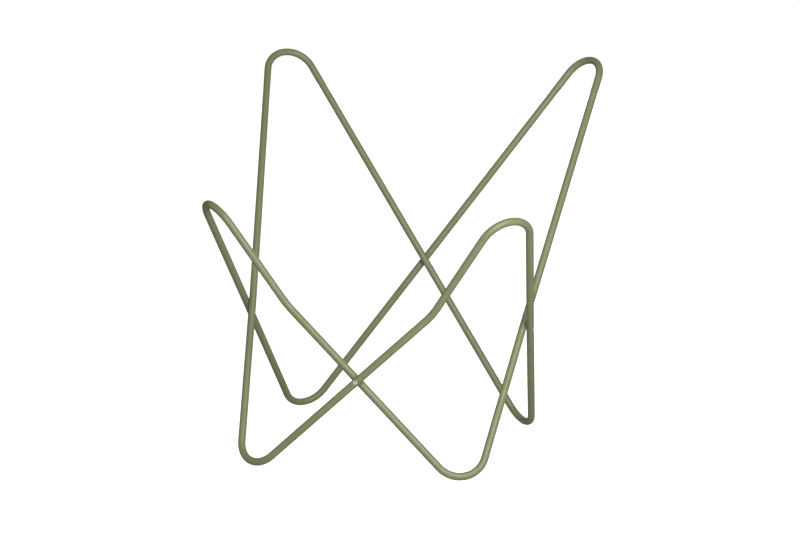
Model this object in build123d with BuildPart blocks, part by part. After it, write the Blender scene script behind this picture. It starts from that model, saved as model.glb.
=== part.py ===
from build123d import *
import os

os.makedirs("parts", exist_ok=True)

# A butterfly-frame magazine rack, in millimetres. It stands on z = 0, its front faces -Y, and the
# plane x = 0 mirrors one loop into the other. Each loop is one closed length of round steel rod.
# The loops cross at four places, where a socket-head screw goes through the outer rod into the
# inner one.

# Rod and bends
rod_d = 8.3  # an 8 mm bar and the powder coat on it
rod_r = rod_d / 2
bend_r = 30.0  # both feet and both top corners are bent on the same die
knee_r = 60.0  # the shallow bend halfway up the front run
spring_r = 1200.0  # the faint bow of a run where a screw holds it
paint_gap = 0.04  # between the two painted rods of a crossing
side_draw = 1.0  # how far the side screws draw their rods in towards the middle

# Corners of the left loop, where its straight runs would meet without the bends
high_corner = Vector(-213.0, 196.7, 472.0)
front_foot = Vector(-129.5, -180.8, -20.65)
knee = Vector(82.0, -158.8, 177.0)
low_corner = Vector(189.5, -184.8, 340.0)
back_foot = Vector(144.0, 65.7, -22.48)

# Screw: an M2.5 socket-head cap screw, its thread drawn plain at the major diameter
head_r = 4.5 / 2
head_h = 2.5
head_chamfer = 0.3
head_sink = 0.6  # from the crest of the outer rod down to the head
socket_flats = 2.0
socket_depth = 1.1
shank_r = 2.5 / 2
shank_l = 10.0
tip_chamfer = 0.4

# Holes for the screw
recess_r = 5.2 / 2
clearance_r = 2.9 / 2
tapped_r = 2.54 / 2
tapped_depth = 6.3  # from the touching side of the inner rod

# Heights above the plane in which the two rods of a crossing touch
rod_offset = (rod_d + paint_gap) / 2
crest = rod_offset + rod_r
head_top = crest - head_sink
head_seat = head_top - head_h
inner_side = rod_offset - rod_r


def mirrored(point):
    return Vector(-point.X, point.Y, point.Z)


def touch_plane(outer_run, inner_run, draw=0.0):
    """Plane midway between two crossing runs, its normal pointing at the outer one."""
    along_outer = outer_run[1] - outer_run[0]
    along_inner = inner_run[1] - inner_run[0]
    across = along_outer.cross(along_inner)
    between = inner_run[0] - outer_run[0]
    share = between.cross(along_inner).dot(across) / across.dot(across)
    on_outer = outer_run[0] + along_outer * share
    normal = across.normalized()
    gap = between.dot(normal)
    outwards = normal * (-1.0 if gap > 0 else 1.0)
    middle = on_outer + normal * (gap / 2)
    return Plane(origin=middle - outwards * draw, x_dir=along_outer, z_dir=outwards)


def outer_point(touch):
    return touch.offset(rod_offset).origin


def inner_point(touch):
    return touch.offset(-rod_offset).origin


# The left loop stands a rod's radius in front of the middle, and the right loop as far behind it
corners = [high_corner, front_foot, knee, low_corner, back_foot]
forward = Vector(0, -rod_r, 0)
left_high, left_front, left_knee, left_low, left_back = [c + forward for c in corners]
right_high, right_front, right_knee, right_low, right_back = [mirrored(c) - forward for c in corners]

front_touch = touch_plane((left_front, left_knee), (right_front, right_knee))
back_touch = touch_plane((right_back, right_high), (left_back, left_high))
left_touch = touch_plane((right_low, right_back), (left_high, left_front), side_draw)
right_touch = touch_plane((left_low, left_back), (right_high, right_front), side_draw)

# Each rod runs through its corners and through the crossings between them
left_route = [
    left_high,
    inner_point(left_touch),
    left_front,
    outer_point(front_touch),
    left_knee,
    left_low,
    outer_point(right_touch),
    left_back,
    inner_point(back_touch),
]
right_route = [
    right_high,
    inner_point(right_touch),
    right_front,
    inner_point(front_touch),
    right_knee,
    right_low,
    outer_point(left_touch),
    right_back,
    outer_point(back_touch),
]
route_radii = [bend_r, spring_r, bend_r, spring_r, knee_r, bend_r, spring_r, bend_r, spring_r]


def bent_rod(route):
    """The closed rod, swept in two halves, because a circle carried once round a bent loop turns."""
    with BuildLine() as centre_line:
        FilletPolyline(*route, radius=route_radii, close=True)
    pieces = centre_line.edges()
    half = len(pieces) // 2
    for stretch in (pieces[:half], pieces[half:]):
        path = Wire(stretch)
        with BuildSketch(path ^ 0) as section:
            Circle(rod_r)
        sweep(section.sketch, path=path)


def screw_recesses(*touches):
    with Locations(*[touch.offset(crest) for touch in touches]):
        CounterBoreHole(
            radius=clearance_r,
            counter_bore_radius=recess_r,
            counter_bore_depth=crest - head_seat,
            depth=rod_d,
        )


def tapped_holes(*touches):
    with Locations(*[touch.offset(-inner_side) for touch in touches]):
        Hole(radius=tapped_r, depth=tapped_depth)


with BuildPart() as left_loop:
    bent_rod(left_route)
    screw_recesses(front_touch, right_touch)
    tapped_holes(left_touch, back_touch)
left_loop.part.label = "left_loop"

with BuildPart() as right_loop:
    bent_rod(right_route)
    screw_recesses(back_touch, left_touch)
    tapped_holes(right_touch, front_touch)
right_loop.part.label = "right_loop"


def socket_screw(label, touch):
    with BuildPart() as screw:
        with BuildSketch(touch.offset(head_seat)):
            Circle(head_r)
        extrude(amount=head_h)
        rim = screw.edges().filter_by(GeomType.CIRCLE).sort_by(Axis(touch.origin, touch.z_dir))[-1]
        chamfer(rim, head_chamfer)
        with BuildSketch(touch.offset(head_seat)):
            Circle(shank_r)
        extrude(amount=-shank_l)
        tip = screw.edges().filter_by(GeomType.CIRCLE).sort_by(Axis(touch.origin, touch.z_dir))[0]
        chamfer(tip, tip_chamfer)
        with BuildSketch(touch.offset(head_top)):
            RegularPolygon(radius=socket_flats / 2, side_count=6, major_radius=False)
        extrude(amount=-socket_depth, mode=Mode.SUBTRACT)
    screw.part.label = label
    return screw


front_screw = socket_screw("front_screw", front_touch)
back_screw = socket_screw("back_screw", back_touch)
left_screw = socket_screw("left_screw", left_touch)
right_screw = socket_screw("right_screw", right_touch)

for piece in (left_loop, right_loop, front_screw, back_screw, left_screw, right_screw):
    export_step(piece.part, f"parts/{piece.part.label}.step")
    box = piece.part.bounding_box()
    print(piece.part.label, "volume", round(piece.part.volume, 1), "lowest", round(box.min.Z, 3))
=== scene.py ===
import math

import bmesh
import bpy
import numpy as np
from mathutils import Matrix, Vector


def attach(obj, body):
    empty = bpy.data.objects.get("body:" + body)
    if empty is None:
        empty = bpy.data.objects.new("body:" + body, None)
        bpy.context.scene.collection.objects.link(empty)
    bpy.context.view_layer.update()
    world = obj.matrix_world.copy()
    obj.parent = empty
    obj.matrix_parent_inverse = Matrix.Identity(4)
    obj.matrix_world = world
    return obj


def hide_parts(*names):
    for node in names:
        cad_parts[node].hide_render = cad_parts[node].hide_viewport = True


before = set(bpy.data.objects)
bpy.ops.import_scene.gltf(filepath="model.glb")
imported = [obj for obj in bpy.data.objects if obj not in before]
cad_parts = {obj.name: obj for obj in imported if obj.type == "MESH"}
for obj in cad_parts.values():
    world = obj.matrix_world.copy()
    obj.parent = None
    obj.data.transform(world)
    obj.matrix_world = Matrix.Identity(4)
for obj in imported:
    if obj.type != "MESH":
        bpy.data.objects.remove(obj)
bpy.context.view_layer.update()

# The camera stands in front, a little to the right and above, and looks at the middle of the rack.
VIEW_AZIMUTH = math.radians(15.47)
VIEW_ELEVATION = math.radians(12.19)
VIEW_DISTANCE = 2.3408
AIM = Vector((0.0017, 0.0, 0.1912))
SENSOR_WIDTH = 36.0
LENS = 92.87

# The rods, in metres, as in the CAD model: the bends, and the left loop's corners
ROD_RADIUS = 0.00415
PAINT_GAP = 0.00004
BEND_RADIUS = 0.030
KNEE_RADIUS = 0.060
SPRING_RADIUS = 1.2
SIDE_DRAW = 0.001
HIGH_CORNER = np.array((-0.2130, 0.1967, 0.4720))
FRONT_FOOT = np.array((-0.1295, -0.1808, -0.02065))
KNEE = np.array((0.0820, -0.1588, 0.1770))
LOW_CORNER = np.array((0.1895, -0.1848, 0.3400))
BACK_FOOT = np.array((0.1440, 0.0657, -0.02248))
MIRROR = np.array((-1.0, 1.0, 1.0))
ROUND_ROD = 48  # points round a rod
BEND_STEP = 0.0014  # between the rings of a bend
SPRING_STEP = 0.003
SHARP_ROD = math.radians(35)  # a rod's edge steeper than this is shaded sharp

# The screw and its holes
HEAD_RADIUS = 0.00225
HEAD_HEIGHT = 0.0025
HEAD_ROUNDING = 0.0003
HEAD_SINK = 0.0006  # from the crest of the outer rod down to the head
SOCKET_RADIUS = 0.001 / math.cos(math.radians(30))  # a hexagon 2 mm across its flats
SOCKET_DEPTH = 0.0011
SOCKET_LEAD = 0.00012  # the bevel at the mouth of the socket
SHANK_RADIUS = 0.00125
SHANK_LENGTH = 0.010
TIP_CHAMFER = 0.0004
THREAD_PITCH = 0.00045
THREAD_DEPTH = 0.00024
KNURL_DEPTH = 0.00006
KNURL_TEETH = 32
THREAD_RINGS = 8  # rings in each turn of the thread
ROUND_SCREW = 96  # points round a screw
SHARP_SCREW = math.radians(50)
RECESS_RADIUS = 0.0026
CLEARANCE_RADIUS = 0.00145
TAPPED_RADIUS = 0.00127
TAPPED_DEPTH = 0.0063


def direction_from(azimuth, elevation):
    """Unit vector from the rack towards a viewer or light at that azimuth and elevation."""
    flat = math.cos(elevation)
    return Vector((math.sin(azimuth) * flat, -math.cos(azimuth) * flat, math.sin(elevation)))


def add_camera():
    camera = bpy.data.objects.new("camera", bpy.data.cameras.new("camera"))
    bpy.context.scene.collection.objects.link(camera)
    towards = direction_from(VIEW_AZIMUTH, VIEW_ELEVATION)
    camera.location = AIM + towards * VIEW_DISTANCE
    camera.rotation_mode = "QUATERNION"
    camera.rotation_quaternion = (-towards).to_track_quat("-Z", "Y")
    camera.data.sensor_width = SENSOR_WIDTH
    camera.data.lens = LENS
    camera.data.clip_start = 0.05
    camera.data.clip_end = 50.0
    bpy.context.scene.camera = camera


def add_area_light(name, azimuth, elevation, distance, size, power):
    """A square softbox that faces the middle of the rack; its angles are in degrees."""
    light = bpy.data.objects.new(name, bpy.data.lights.new(name, "AREA"))
    bpy.context.scene.collection.objects.link(light)
    light.data.shape = "SQUARE"
    light.data.size = size
    light.data.energy = power
    towards = direction_from(math.radians(azimuth), math.radians(elevation))
    light.location = AIM + towards * distance
    light.rotation_mode = "QUATERNION"
    light.rotation_quaternion = (-towards).to_track_quat("-Z", "Y")


def seen_and_cast(tree, seen, cast):
    """One brightness for what the camera sees of the stage, another for the light it casts."""
    path = tree.nodes.new("ShaderNodeLightPath")
    strength = tree.nodes.new("ShaderNodeMapRange")
    tree.links.new(path.outputs["Is Camera Ray"], strength.inputs["Value"])
    strength.inputs["To Min"].default_value = cast
    strength.inputs["To Max"].default_value = seen
    return strength.outputs["Result"]


def add_world(seen, cast):
    world = bpy.data.worlds.new("studio")
    world.use_nodes = True
    tree = world.node_tree
    background = tree.nodes["Background"]
    background.inputs["Color"].default_value = (1.0, 1.0, 1.0, 1.0)
    tree.links.new(seen_and_cast(tree, seen, cast), background.inputs["Strength"])
    bpy.context.scene.world = world


def add_floor(shade, glow):
    """A pale floor; a glow that only the camera sees keeps it white far away from the lights."""
    half = 30.0
    mesh = bpy.data.meshes.new("floor")
    corners = [(-half, -half, 0.0), (half, -half, 0.0), (half, half, 0.0), (-half, half, 0.0)]
    mesh.from_pydata(corners, [], [(0, 1, 2, 3)])
    floor = bpy.data.objects.new("floor", mesh)
    bpy.context.scene.collection.objects.link(floor)
    material = bpy.data.materials.new("floor_white")
    material.use_nodes = True
    tree = material.node_tree
    shader = tree.nodes["Principled BSDF"]
    shader.inputs["Base Color"].default_value = (shade, shade, shade, 1.0)
    shader.inputs["Roughness"].default_value = 0.9
    shader.inputs["Specular IOR Level"].default_value = 0.0
    shader.inputs["Emission Color"].default_value = (1.0, 1.0, 1.0, 1.0)
    tree.links.new(seen_and_cast(tree, glow, 0.0), shader.inputs["Emission Strength"])
    mesh.materials.append(material)


# Materials


def new_material(name):
    material = bpy.data.materials.new(name)
    material.use_nodes = True
    return material


def object_space(tree):
    return tree.nodes.new("ShaderNodeTexCoord").outputs["Object"]


def noise(tree, where, feature, detail=2.0, roughness=0.5):
    """Noise whose lumps are about `feature` metres across."""
    node = tree.nodes.new("ShaderNodeTexNoise")
    tree.links.new(where, node.inputs["Vector"])
    node.inputs["Scale"].default_value = 1.0 / feature
    node.inputs["Detail"].default_value = detail
    node.inputs["Roughness"].default_value = roughness
    return node.outputs["Fac"]


def remap(tree, value, low, high, to_low, to_high):
    node = tree.nodes.new("ShaderNodeMapRange")
    tree.links.new(value, node.inputs["Value"])
    node.inputs["From Min"].default_value = low
    node.inputs["From Max"].default_value = high
    node.inputs["To Min"].default_value = to_low
    node.inputs["To Max"].default_value = to_high
    return node.outputs["Result"]


def arithmetic(tree, operation, first, second):
    """A Math node; `second` is a socket or a number."""
    node = tree.nodes.new("ShaderNodeMath")
    node.operation = operation
    tree.links.new(first, node.inputs[0])
    if isinstance(second, float):
        node.inputs[1].default_value = second
    else:
        tree.links.new(second, node.inputs[1])
    return node.outputs["Value"]


def mix_colours(tree, share, first, second):
    """Mixes two colours, each a socket or an (r, g, b) tuple."""
    node = tree.nodes.new("ShaderNodeMix")
    node.data_type = "RGBA"
    tree.links.new(share, node.inputs["Factor"])
    for socket, colour in ((node.inputs[6], first), (node.inputs[7], second)):
        if isinstance(colour, tuple):
            socket.default_value = (*colour, 1.0)
        else:
            tree.links.new(colour, socket)
    return node.outputs[2]


def bump(tree, height, depth, under=None):
    node = tree.nodes.new("ShaderNodeBump")
    tree.links.new(height, node.inputs["Height"])
    node.inputs["Distance"].default_value = depth
    if under is not None:
        tree.links.new(under, node.inputs["Normal"])
    return node.outputs["Normal"]


# Powder coat: its colours, and how far across its features are in metres
OLIVE = (0.148, 0.158, 0.068)
SAGE = (0.160, 0.166, 0.090)
DEEP_OLIVE = (0.122, 0.131, 0.054)
BARE_STEEL = (0.23, 0.22, 0.20)
PEEL = 0.0018
PEEL_DEPTH = 0.0002
GRAIN = 0.00035
GRAIN_DEPTH = 0.00004
PATCH = 0.022
FLECK = 0.0009
SCUFF = 0.0011
CLOUD = 0.006
SMOOTHEST = 0.44
ROUGHEST = 0.55
RIM_MARGIN = 0.0001  # how far past the recess the wear is still full
RIM_FADE = 0.0009
SOLE_WORN = 0.0002  # the foot is bare steel up to this height
SOLE_SOUND = 0.0012  # and painted all over above this one
WORN_METAL = 0.8

# Zinc plate
WARM_ZINC = (0.80, 0.79, 0.74)
BRIGHT_ZINC = (0.86, 0.86, 0.84)
# The near-black colour below is painted shade for the inside of the hex socket, not dirt.
PAINTED_SOCKET_SHADE = (0.035, 0.032, 0.026)
TINT = 0.0012
POLISH = 0.0005
PAINTED_SHADE_BOTTOM = -0.0007  # height at which the socket is darkest
PAINTED_SHADE_TOP = -0.0001
PAINTED_SHADE_DARKNESS = 0.85
SOCKET_MIDDLE = (0.0, 0.0, -0.0005)
PAINTED_SHADE_RADIUS = 0.00115
PAINTED_SHADE_FADE = 0.00025
UNSHADED_METAL = 0.55
PAINTED_SHADE_METAL = 0.2
TURNING_PITCH = 0.0004
TURNING_DEPTH = 0.000004


def near_points(tree, where, points, radius, fade):
    """1 within `radius` of any of the points, falling to 0 over `fade`."""
    nearest = None
    for point in points:
        node = tree.nodes.new("ShaderNodeVectorMath")
        node.operation = "DISTANCE"
        tree.links.new(where, node.inputs[0])
        node.inputs[1].default_value = point
        distance = node.outputs["Value"]
        nearest = distance if nearest is None else arithmetic(tree, "MINIMUM", nearest, distance)
    return remap(tree, nearest, radius, radius + fade, 1.0, 0.0)


def powder_coat(heads):
    """Satin powder coat on steel, worn at the rims of the screw recesses and under the feet."""
    material = new_material("powder_coat")
    tree = material.node_tree
    shader = tree.nodes["Principled BSDF"]
    where = object_space(tree)

    patches = remap(tree, noise(tree, where, PATCH, 3.0), 0.35, 0.65, 0.0, 1.0)
    flecks = remap(tree, noise(tree, where, FLECK, 2.0), 0.56, 0.72, 0.0, 0.45)
    colour = mix_colours(tree, patches, OLIVE, SAGE)
    colour = mix_colours(tree, flecks, colour, DEEP_OLIVE)

    scuffs = noise(tree, where, SCUFF, 4.0, 0.7)
    rims = near_points(tree, where, heads, RECESS_RADIUS + RIM_MARGIN, RIM_FADE)
    rim_wear = arithmetic(tree, "MULTIPLY", rims, remap(tree, scuffs, 0.42, 0.58, 0.0, 1.0))
    height = tree.nodes.new("ShaderNodeSeparateXYZ")
    tree.links.new(where, height.inputs["Vector"])
    soles = remap(tree, height.outputs["Z"], SOLE_WORN, SOLE_SOUND, 1.0, 0.0)
    sole_wear = arithmetic(tree, "MULTIPLY", soles, remap(tree, scuffs, 0.40, 0.55, 0.0, 1.0))
    wear = arithmetic(tree, "MAXIMUM", rim_wear, sole_wear)
    colour = mix_colours(tree, wear, colour, BARE_STEEL)
    tree.links.new(colour, shader.inputs["Base Color"])
    tree.links.new(arithmetic(tree, "MULTIPLY", wear, WORN_METAL), shader.inputs["Metallic"])

    peel = noise(tree, where, PEEL, 1.0)
    cloudy = remap(tree, noise(tree, where, CLOUD, 2.0), 0.3, 0.7, SMOOTHEST, ROUGHEST)
    tree.links.new(cloudy, shader.inputs["Roughness"])
    shader.inputs["Specular IOR Level"].default_value = 0.5
    grain = noise(tree, where, GRAIN, 2.0)
    normal = bump(tree, peel, PEEL_DEPTH)
    normal = bump(tree, grain, GRAIN_DEPTH, normal)
    tree.links.new(normal, shader.inputs["Normal"])
    return material


def zinc():
    """Zinc-plated steel, with faint turning marks and painted shade darkening the bottom of the socket."""
    material = new_material("zinc_plate")
    tree = material.node_tree
    shader = tree.nodes["Principled BSDF"]
    where = object_space(tree)
    tint = remap(tree, noise(tree, where, TINT, 2.0), 0.35, 0.65, 0.0, 1.0)
    colour = mix_colours(tree, tint, WARM_ZINC, BRIGHT_ZINC)
    parts = tree.nodes.new("ShaderNodeSeparateXYZ")
    tree.links.new(where, parts.inputs["Vector"])
    # Painted shade: the socket turns near-black and less metallic towards its floor, standing in for the
    # shade inside the recess.
    depth = remap(tree, parts.outputs["Z"], PAINTED_SHADE_BOTTOM, PAINTED_SHADE_TOP, PAINTED_SHADE_DARKNESS, 0.0)
    inside = near_points(tree, where, [SOCKET_MIDDLE], PAINTED_SHADE_RADIUS, PAINTED_SHADE_FADE)
    painted_shade = arithmetic(tree, "MULTIPLY", depth, inside)
    colour = mix_colours(tree, painted_shade, colour, PAINTED_SOCKET_SHADE)
    tree.links.new(colour, shader.inputs["Base Color"])
    metal = remap(tree, painted_shade, 0.0, 1.0, UNSHADED_METAL, PAINTED_SHADE_METAL)
    tree.links.new(metal, shader.inputs["Metallic"])
    polish = remap(tree, noise(tree, where, POLISH, 3.0), 0.3, 0.7, 0.30, 0.46)
    tree.links.new(polish, shader.inputs["Roughness"])
    rings = tree.nodes.new("ShaderNodeTexWave")
    rings.wave_type = "RINGS"
    rings.rings_direction = "Z"
    tree.links.new(where, rings.inputs["Vector"])
    rings.inputs["Scale"].default_value = 1.0 / TURNING_PITCH
    rings.inputs["Distortion"].default_value = 1.0
    tree.links.new(bump(tree, rings.outputs["Fac"], TURNING_DEPTH), shader.inputs["Normal"])
    return material


# Rods


def unit(vector):
    return vector / np.linalg.norm(vector)


def touch(outer_run, inner_run, draw=0.0):
    """Point midway between two crossing runs, and the direction from there to the outer one."""
    along_outer = outer_run[1] - outer_run[0]
    along_inner = inner_run[1] - inner_run[0]
    across = np.cross(along_outer, along_inner)
    between = inner_run[0] - outer_run[0]
    share = np.cross(between, along_inner) @ across / (across @ across)
    gap = between @ unit(across)
    outwards = unit(across) * (-1.0 if gap > 0 else 1.0)
    middle = outer_run[0] + along_outer * share + unit(across) * gap / 2
    return middle - outwards * draw, outwards


def shifted(place, distance):
    """The point that far out of a touch."""
    middle, outwards = place
    return middle + outwards * distance


def bend_rings(before, corner, after, radius, spacing):
    """Centre and direction of each ring round one bend of the rod."""
    back = unit(before - corner)
    ahead = unit(after - corner)
    turn = 2 * math.asin(np.linalg.norm(back + ahead) / 2)
    start = corner + back * radius * math.tan(turn / 2)
    centre = corner + unit(back + ahead) * radius / math.cos(turn / 2)
    spoke = unit(start - centre)
    steps = max(2, round(radius * turn / spacing))
    for step in range(steps + 1):
        angle = turn * step / steps
        spot = centre + radius * (math.cos(angle) * spoke - math.sin(angle) * back)
        yield spot, -math.sin(angle) * spoke - math.cos(angle) * back


def rod_rings(route):
    """Centre, direction and a sideways vector of every ring of the closed rod."""
    rings = []
    for index, (corner, radius) in enumerate(route):
        before = route[index - 1][0]
        after = route[(index + 1) % len(route)][0]
        spacing = SPRING_STEP if radius == SPRING_RADIUS else BEND_STEP
        rings.extend(bend_rings(before, corner, after, radius, spacing))
    side = unit(np.cross(rings[0][1], (0.0, 0.0, 1.0)))
    carried = []
    for spot, ahead in rings:
        side = unit(side - ahead * (side @ ahead))
        carried.append((spot, ahead, side))
    return carried


def left_over_turn(rings):
    """How far the sideways vector has turned when it comes back to the first ring."""
    spot, ahead, first = rings[0]
    last = unit(rings[-1][2] - ahead * (rings[-1][2] @ ahead))
    return math.atan2(np.cross(first, last) @ ahead, first @ last)


def rod_mesh(name, route):
    """A closed tube of quads whose rings turn evenly, so that the last one meets the first."""
    rings = rod_rings(route)
    drift = left_over_turn(rings)
    points = []
    for index, (spot, ahead, side) in enumerate(rings):
        up = np.cross(ahead, side)
        start = -drift * index / len(rings)
        for step in range(ROUND_ROD):
            angle = start + math.tau * step / ROUND_ROD
            points.append(spot + ROD_RADIUS * (math.cos(angle) * side + math.sin(angle) * up))
    faces = []
    for index in range(len(rings)):
        here = index * ROUND_ROD
        there = (index + 1) % len(rings) * ROUND_ROD
        for step in range(ROUND_ROD):
            after = (step + 1) % ROUND_ROD
            faces.append((here + step, here + after, there + after, there + step))
    mesh = bpy.data.meshes.new(name)
    mesh.from_pydata([tuple(point) for point in points], [], faces)
    return mesh


# Turned parts


def lathe(build, place, rings, around):
    """Adds a closed turned body to a bmesh; each ring is a radius, or a function of angle, and a height."""
    loops = []
    for radius, height in rings:
        loop = []
        for step in range(around):
            angle = math.tau * step / around
            reach = radius(angle) if callable(radius) else radius
            spot = place @ Vector((reach * math.cos(angle), reach * math.sin(angle), height))
            loop.append(build.verts.new(spot))
        loops.append(loop)
    for inner, outer in zip(loops, loops[1:]):
        for step in range(around):
            after = (step + 1) % around
            build.faces.new((inner[step], inner[after], outer[after], outer[step]))
    build.faces.new(loops[0])
    build.faces.new(reversed(loops[-1]))


def finished_mesh(name, build):
    bmesh.ops.recalc_face_normals(build, faces=build.faces)
    mesh = bpy.data.meshes.new(name)
    build.to_mesh(mesh)
    build.free()
    return mesh


def standing(origin, outwards):
    """A frame with its Z axis along `outwards`."""
    turn = Vector(outwards).to_track_quat("Z", "Y")
    return Matrix.Translation(Vector(origin)) @ turn.to_matrix().to_4x4()


def head_place(place):
    """The frame of the screw's head: its origin in the middle of the face."""
    return standing(shifted(place, PAINT_GAP / 2 + 2 * ROD_RADIUS - HEAD_SINK), place[1])


def cut_holes(rod, recesses, tapped):
    """Sinks the screw recesses and the blind tapped holes into a rod."""
    build = bmesh.new()
    through = HEAD_SINK - 2 * ROD_RADIUS - PAINT_GAP
    for place in recesses:
        recess = [
            (RECESS_RADIUS, 3 * HEAD_SINK),
            (RECESS_RADIUS, -HEAD_HEIGHT),
            (CLEARANCE_RADIUS, -HEAD_HEIGHT),
            (CLEARANCE_RADIUS, through),
        ]
        lathe(build, head_place(place), recess, ROUND_SCREW)
    for place in tapped:
        hole = [(TAPPED_RADIUS, HEAD_SINK), (TAPPED_RADIUS, -TAPPED_DEPTH - PAINT_GAP / 2)]
        lathe(build, standing(*place), hole, ROUND_ROD)
    cutter = bpy.data.objects.new("cutter", finished_mesh("cutter", build))
    bpy.context.scene.collection.objects.link(cutter)
    cut = rod.modifiers.new("holes", "BOOLEAN")
    cut.operation = "DIFFERENCE"
    cut.solver = "EXACT"
    cut.object = cutter
    graph = bpy.context.evaluated_depsgraph_get()
    mesh = bpy.data.meshes.new_from_object(rod.evaluated_get(graph))
    rod.modifiers.clear()
    rod.data = mesh
    bpy.data.objects.remove(cutter)


def rod_piece(name, node, route, recesses, tapped, material):
    rod = bpy.data.objects.new(name, rod_mesh(name, route))
    bpy.context.scene.collection.objects.link(rod)
    cut_holes(rod, recesses, tapped)
    rod.data.shade_smooth()
    rod.data.set_sharp_from_angle(angle=SHARP_ROD)
    rod.data.materials.clear()
    rod.data.materials.append(material)
    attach(rod, "root")
    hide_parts(node)


# Screws


def hexagon(angle):
    """Radius of a hexagon with corners at SOCKET_RADIUS, in that direction."""
    sector = math.radians(60)
    from_flat = (angle % sector) - sector / 2
    return SOCKET_RADIUS * math.cos(sector / 2) / math.cos(from_flat)


def knurled(angle):
    wave = 0.5 - 0.5 * math.cos(angle * KNURL_TEETH)
    return HEAD_RADIUS - KNURL_DEPTH * wave


def head_rings():
    """The head, from the floor of its socket over the face and down to the shank."""
    lead = SOCKET_RADIUS + SOCKET_LEAD
    flat = HEAD_RADIUS - HEAD_ROUNDING
    yield (lambda angle: hexagon(angle) * 0.6), -SOCKET_DEPTH
    yield hexagon, -SOCKET_DEPTH + 0.00004
    yield hexagon, -SOCKET_DEPTH + 0.0001
    yield hexagon, -2 * SOCKET_LEAD
    yield hexagon, -SOCKET_LEAD
    yield lead - 0.00003, -0.00001
    yield lead, 0.0
    yield lead + 0.00004, 0.0
    yield flat - 0.00005, 0.0
    steps = 6
    for step in range(steps + 1):
        turn = math.radians(90 * step / steps)
        yield flat + HEAD_ROUNDING * math.sin(turn), HEAD_ROUNDING * (math.cos(turn) - 1)
    yield knurled, -HEAD_ROUNDING - 0.0001
    yield knurled, -HEAD_HEIGHT + 0.00015
    yield HEAD_RADIUS - 0.0001, -HEAD_HEIGHT
    yield SHANK_RADIUS + 0.0001, -HEAD_HEIGHT


def thread_rings():
    """The shank: its radius follows a V-shaped thread and ends in the chamfered tip."""
    steps = round(SHANK_LENGTH / THREAD_PITCH * THREAD_RINGS)
    for step in range(steps + 1):
        along = step / steps * SHANK_LENGTH
        limit = SHANK_RADIUS - max(0.0, TIP_CHAMFER - (SHANK_LENGTH - along))

        def radius(angle, along=along, limit=limit):
            phase = (along / THREAD_PITCH - angle / math.tau) % 1.0
            return min(limit, SHANK_RADIUS - THREAD_DEPTH * abs(2 * phase - 1))

        yield radius, -HEAD_HEIGHT - along


def screw_piece(name, node, place, material):
    """A turned, knurled and threaded screw whose own origin is in the middle of its face."""
    build = bmesh.new()
    lathe(build, Matrix.Identity(4), [*head_rings(), *thread_rings()], ROUND_SCREW)
    screw = bpy.data.objects.new(name, finished_mesh(name, build))
    bpy.context.scene.collection.objects.link(screw)
    screw.matrix_world = head_place(place)
    screw.data.shade_smooth()
    screw.data.set_sharp_from_angle(angle=SHARP_SCREW)
    screw.data.materials.append(material)
    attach(screw, "root")
    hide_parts(node)


# Where everything is: the left loop stands a rod's radius in front of the middle, and the right
# loop as far behind it
forward = np.array((0.0, -ROD_RADIUS, 0.0))
corners = (HIGH_CORNER, FRONT_FOOT, KNEE, LOW_CORNER, BACK_FOOT)
left_high, left_front, left_knee, left_low, left_back = [c + forward for c in corners]
right_high, right_front, right_knee, right_low, right_back = [c * MIRROR - forward for c in corners]

front_touch = touch((left_front, left_knee), (right_front, right_knee))
back_touch = touch((right_back, right_high), (left_back, left_high))
left_touch = touch((right_low, right_back), (left_high, left_front), SIDE_DRAW)
right_touch = touch((left_low, left_back), (right_high, right_front), SIDE_DRAW)

reach = ROD_RADIUS + PAINT_GAP / 2
left_route = [
    (left_high, BEND_RADIUS),
    (shifted(left_touch, -reach), SPRING_RADIUS),
    (left_front, BEND_RADIUS),
    (shifted(front_touch, reach), SPRING_RADIUS),
    (left_knee, KNEE_RADIUS),
    (left_low, BEND_RADIUS),
    (shifted(right_touch, reach), SPRING_RADIUS),
    (left_back, BEND_RADIUS),
    (shifted(back_touch, -reach), SPRING_RADIUS),
]
right_route = [
    (right_high, BEND_RADIUS),
    (shifted(right_touch, -reach), SPRING_RADIUS),
    (right_front, BEND_RADIUS),
    (shifted(front_touch, -reach), SPRING_RADIUS),
    (right_knee, KNEE_RADIUS),
    (right_low, BEND_RADIUS),
    (shifted(left_touch, reach), SPRING_RADIUS),
    (right_back, BEND_RADIUS),
    (shifted(back_touch, reach), SPRING_RADIUS),
]

bpy.context.scene.view_settings.view_transform = "Standard"
add_camera()
add_world(seen=1.0, cast=0.14)
add_area_light("key", azimuth=32, elevation=28, distance=1.3, size=0.9, power=25.5)
add_area_light("back", azimuth=182, elevation=8, distance=3.0, size=2.0, power=26)
add_area_light("side", azimuth=-70, elevation=15, distance=3.0, size=2.0, power=12)
add_floor(shade=0.58, glow=0.97)

touches = (front_touch, back_touch, left_touch, right_touch)
coat = powder_coat([head_place(place).translation for place in touches])
left_recesses = (front_touch, right_touch)
right_recesses = (back_touch, left_touch)
left_tapped = (left_touch, back_touch)
right_tapped = (right_touch, front_touch)
rod_piece("left_rod", "left_loop", left_route, left_recesses, left_tapped, coat)
rod_piece("right_rod", "right_loop", right_route, right_recesses, right_tapped, coat)

plating = zinc()
screw_piece("front_socket_screw", "front_screw", front_touch, plating)
screw_piece("back_socket_screw", "back_screw", back_touch, plating)
screw_piece("left_socket_screw", "left_screw", left_touch, plating)
screw_piece("right_socket_screw", "right_screw", right_touch, plating)
